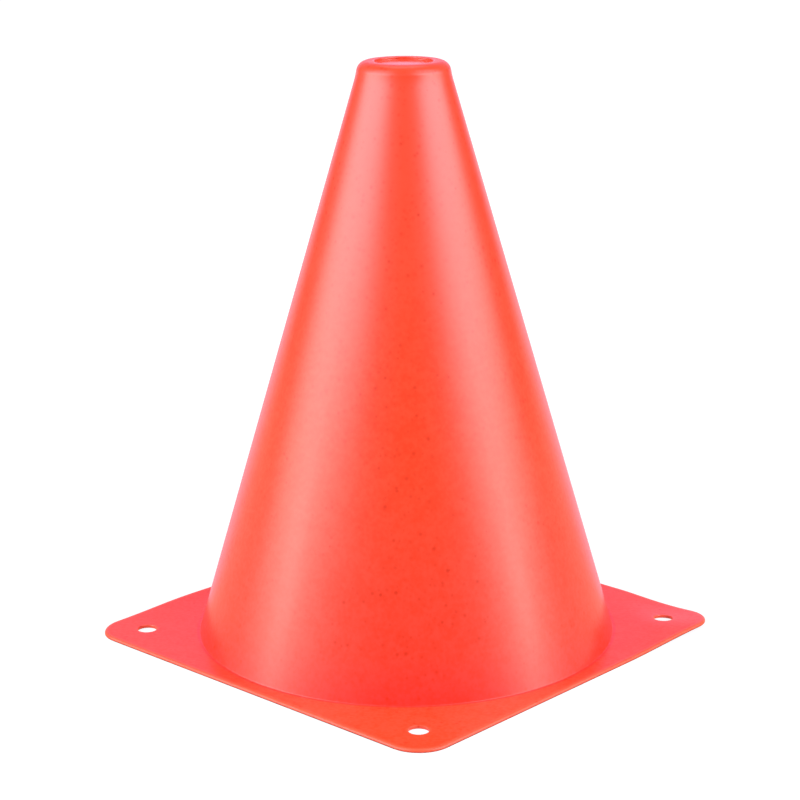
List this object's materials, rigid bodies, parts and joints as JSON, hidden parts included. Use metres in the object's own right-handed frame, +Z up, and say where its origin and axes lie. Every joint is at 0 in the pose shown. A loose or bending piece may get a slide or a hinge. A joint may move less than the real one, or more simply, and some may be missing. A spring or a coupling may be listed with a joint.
{
  "type": "sports marker cone",
  "caption": "Hollow tapered plastic marker cone with a rounded, closed top that has a shallow round recess, on a thin square foot flange with a peg hole in each corner, for marking out sports drills.",
  "frame": {"origin": "centre of the flange's underside, on the cone's axis, where the cone stands on the ground", "axes": "+Z up the cone's axis, X and Y along the sides of the square flange"},
  "size_m": [0.14, 0.14, 0.178],
  "materials": {
    "cone_plastic": "satin"
  },
  "bodies": {
    "root": {"base_flange": "cone_plastic", "cone_wall": "cone_plastic", "top_cap": "cone_plastic"}
  },
  "joints": []
}
